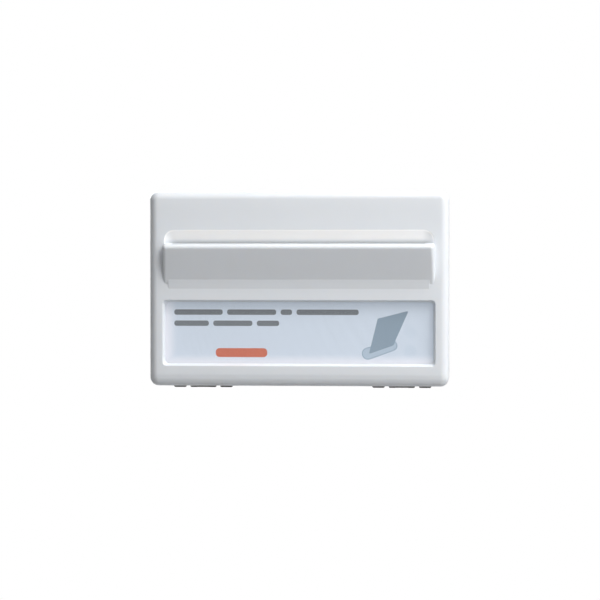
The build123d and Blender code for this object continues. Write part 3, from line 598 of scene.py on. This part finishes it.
def printed(name, outline, layer, material):
    """A flat shape from its outline in X and Z, whose layer says how far it stands proud."""
    back = LABEL_FRONT - PRINT_RISE
    front = LABEL_FRONT + layer * PRINT_RISE
    bm = bmesh.new()
    face = bm.faces.new([bm.verts.new((x, -front, z)) for x, z in outline])
    face.normal_update()
    if face.normal.y > 0:
        bmesh.ops.reverse_faces(bm, faces=[face])
    grown = bmesh.ops.extrude_face_region(bm, geom=[face], use_keep_orig=True)
    moved = [v for v in grown["geom"] if isinstance(v, bmesh.types.BMVert)]
    bmesh.ops.translate(bm, vec=(0, front - back, 0), verts=moved)
    bmesh.ops.recalc_face_normals(bm, faces=bm.faces)
    piece = piece_from(bm, name, material)
    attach(piece, "cover")


def rounded(points, radius):
    """An outline with its corners rounded by a radius."""
    outline = []
    for n, point in enumerate(points):
        here = Vector(point)
        before = (Vector(points[n - 1]) - here).normalized()
        after = (Vector(points[(n + 1) % len(points)]) - here).normalized()
        half = before.angle(after) / 2
        reach = radius / math.tan(half)
        centre = here + (before + after).normalized() * radius / math.sin(half)
        start = here + before * reach - centre
        end = here + after * reach - centre
        turn = start.angle_signed(end)
        for k in range(CORNER_STEPS + 1):
            angle = -turn * k / CORNER_STEPS
            spot = Vector(
                (
                    start.x * math.cos(angle) - start.y * math.sin(angle),
                    start.x * math.sin(angle) + start.y * math.cos(angle),
                )
            )
            outline.append(tuple(centre + spot))
    return outline


def capsule(a, b, radius_a, radius_b):
    """The outline round two circles of nearly the same size."""
    a, b = Vector(a), Vector(b)
    start = math.atan2((b - a).y, (b - a).x)
    outline = []
    ends = (b, radius_b, start - math.pi / 2), (a, radius_a, start + math.pi / 2)
    for centre, radius, first in ends:
        for k in range(END_STEPS + 1):
            angle = first + math.pi * k / END_STEPS
            outline.append(
                (centre.x + radius * math.cos(angle), centre.y + radius * math.sin(angle))
            )
    return outline


def ink(name, colour, other):
    shader = Shader(name, colour, 0.4)
    shader.grain(0.25, 0.001)
    shader.mottle(0.8, other=other)
    return shader.done()


bar_ink = ink("print_grey", (0.165, 0.185, 0.205), (0.185, 0.205, 0.225))
accent_ink = ink("print_orange", (0.66, 0.165, 0.085), (0.62, 0.15, 0.08))
card_ink = ink("print_card", (0.265, 0.355, 0.44), (0.275, 0.365, 0.455))
slot_ink = ink("print_slot", (0.47, 0.575, 0.685), (0.48, 0.585, 0.695))
slot_line_ink = ink("print_slot_line", (0.31, 0.42, 0.53), (0.325, 0.435, 0.545))

BAR_ROUNDING = 0.42  # a share of the bar's shorter side


def print_bar(name, left, right, top, bottom, material):
    """A bar with rounded ends, whose sides are given in pixels of the photograph."""
    x0, z0 = label_place(left, bottom)
    x1, z1 = label_place(right, top)
    radius = min(x1 - x0, z1 - z0) * BAR_ROUNDING
    printed(name, rounded([(x0, z0), (x1, z0), (x1, z1), (x0, z1)], radius), 1, material)


# two lines of plain grey bars: top and bottom of a line, left and right of its bars
BAR_LINES = {
    (309.6, 315.0): [(173, 222), (226.5, 276), (280.5, 292), (296.5, 359)],
    (320.8, 326.2): [(173, 208), (212.5, 252), (256.5, 279)],
}
grey_bars = [(*ends, *line) for line, bars in BAR_LINES.items() for ends in bars]
for n, grey_bar in enumerate(grey_bars):
    print_bar(f"print_bar_{n + 1}", *grey_bar, bar_ink)
ACCENT_BAR = (215, 267, 348.5, 357.5)
print_bar("print_accent_bar", *ACCENT_BAR, accent_ink)

# a generic sign, in pixels of the photograph: a leaning card standing in a slot
SLOT_LEFT, SLOT_RIGHT = (368.2, 353.6), (392.6, 345.6)
SLOT_LEFT_RADIUS, SLOT_RIGHT_RADIUS = 5.2, 4.3
SLOT_RIM = 0.9
CARD_CORNERS = [(369.2, 354.0), (394.0, 345.2), (395.6, 340.8), (409.0, 310.6), (378.0, 318.6)]
CARD_ROUNDING = 0.9


def print_slot(name, rim, layer, material):
    outline = capsule(
        label_place(*SLOT_LEFT),
        label_place(*SLOT_RIGHT),
        (SLOT_LEFT_RADIUS + rim) * PIXEL,
        (SLOT_RIGHT_RADIUS + rim) * PIXEL,
    )
    printed(name, outline, layer, material)


print_slot("print_slot_rim", SLOT_RIM, 0.6, slot_line_ink)
print_slot("print_slot_fill", 0, 0.9, slot_ink)
card_outline = rounded([label_place(*corner) for corner in CARD_CORNERS], CARD_ROUNDING * PIXEL)
printed("print_card", card_outline, 1.3, card_ink)


# White surroundings and soft light


def white_for_sight(tree, lit, white, share=1.0):
    """Mixes a lit shader with a white one for camera, glossy and transmission rays."""
    path = tree.nodes.new("ShaderNodeLightPath")
    seen = path.outputs["Is Camera Ray"]
    for ray in ("Is Glossy Ray", "Is Transmission Ray"):
        either = tree.nodes.new("ShaderNodeMath")
        either.operation = "MAXIMUM"
        tree.links.new(seen, either.inputs[0])
        tree.links.new(path.outputs[ray], either.inputs[1])
        seen = either.outputs[0]
    part = tree.nodes.new("ShaderNodeMath")
    part.operation = "MULTIPLY"
    tree.links.new(seen, part.inputs[0])
    if hasattr(share, "is_output"):
        tree.links.new(share, part.inputs[1])
    else:
        part.inputs[1].default_value = share
    mixed = tree.nodes.new("ShaderNodeMixShader")
    tree.links.new(part.outputs[0], mixed.inputs["Fac"])
    tree.links.new(lit, mixed.inputs[1])
    tree.links.new(white, mixed.inputs[2])
    return mixed.outputs[0]


AMBIENT_COLOUR, AMBIENT_LEVEL = (0.97, 0.985, 1.0, 1), 0.08
WHITE = (1, 1, 1, 1)

world = bpy.data.worlds.new("white_room")
world.use_nodes = True
bpy.context.scene.world = world
tree = world.node_tree
soft = tree.nodes["Background"]
soft.inputs["Color"].default_value = AMBIENT_COLOUR
soft.inputs["Strength"].default_value = AMBIENT_LEVEL
white = tree.nodes.new("ShaderNodeBackground")
white.inputs["Color"].default_value = WHITE
white.inputs["Strength"].default_value = 1
room = white_for_sight(tree, soft.outputs[0], white.outputs[0])
tree.links.new(room, tree.nodes["World Output"].inputs["Surface"])


def soft_lamp(name, direction, distance, size, level):
    """A square lamp aimed at the object, whose level is the light on a surface facing it."""
    data = bpy.data.lights.new(name, "AREA")
    data.shape = "SQUARE"
    data.size = size
    data.energy = level * math.pi**2 * distance**2
    lamp_object = bpy.data.objects.new(name, data)
    away = Vector(direction).normalized()
    lamp_object.location = away * distance
    lamp_object.rotation_euler = away.to_track_quat("Z", "Y").to_euler()
    bpy.context.scene.collection.objects.link(lamp_object)


soft_lamp("key_lamp", (0.37, -0.39, 0.85), distance=1.15, size=0.8, level=0.97)
soft_lamp("front_lamp", (0.58, -0.68, 0.46), distance=0.7, size=0.5, level=0.475)
soft_lamp("right_lamp", (0.98, -0.15, 0.12), distance=1.0, size=0.6, level=0.20)
soft_lamp("left_lamp", (-0.80, -0.40, 0.45), distance=1.15, size=0.8, level=0.05)
soft_lamp("back_lamp", (-0.30, 0.90, 0.32), distance=1.2, size=0.6, level=0.55)

FLOOR_Z = -0.32
FLOOR_REACH = 6
FLOOR_COLOUR = (0.4, 0.4, 0.405, 1)
FADE_START, FADE_END = 0.3, 0.9  # distances from the object between which the floor turns white
NEAR_WHITE_SHARE = 0.55


def pale_floor_material():
    """A matt floor that keeps the object's shadow near it and has no horizon."""
    material = bpy.data.materials.new("floor_white")
    material.use_nodes = True
    tree = material.node_tree
    matt = tree.nodes["Principled BSDF"]
    matt.inputs["Base Color"].default_value = FLOOR_COLOUR
    matt.inputs["Roughness"].default_value = 0.9
    matt.inputs["Specular IOR Level"].default_value = 0.1
    plain = tree.nodes.new("ShaderNodeEmission")
    plain.inputs["Color"].default_value = WHITE
    plain.inputs["Strength"].default_value = 1
    place = tree.nodes.new("ShaderNodeTexCoord")
    reach = tree.nodes.new("ShaderNodeVectorMath")
    reach.operation = "LENGTH"
    tree.links.new(place.outputs["Object"], reach.inputs[0])
    fade = tree.nodes.new("ShaderNodeMapRange")
    fade.interpolation_type = "SMOOTHSTEP"
    fade.inputs["From Min"].default_value = FADE_START
    fade.inputs["From Max"].default_value = FADE_END
    fade.inputs["To Min"].default_value = NEAR_WHITE_SHARE
    fade.inputs["To Max"].default_value = 1
    tree.links.new(reach.outputs["Value"], fade.inputs["Value"])
    ground = white_for_sight(tree, matt.outputs[0], plain.outputs[0], fade.outputs["Result"])
    tree.links.new(ground, tree.nodes["Material Output"].inputs["Surface"])
    return material


bm = bmesh.new()
for x, y in ((-1, -1), (1, -1), (1, 1), (-1, 1)):
    bm.verts.new((x * FLOOR_REACH, y * FLOOR_REACH, FLOOR_Z))
bm.faces.new(bm.verts)
floor = piece_from(bm, "floor", pale_floor_material())

bpy.context.scene.view_settings.view_transform = "Standard"
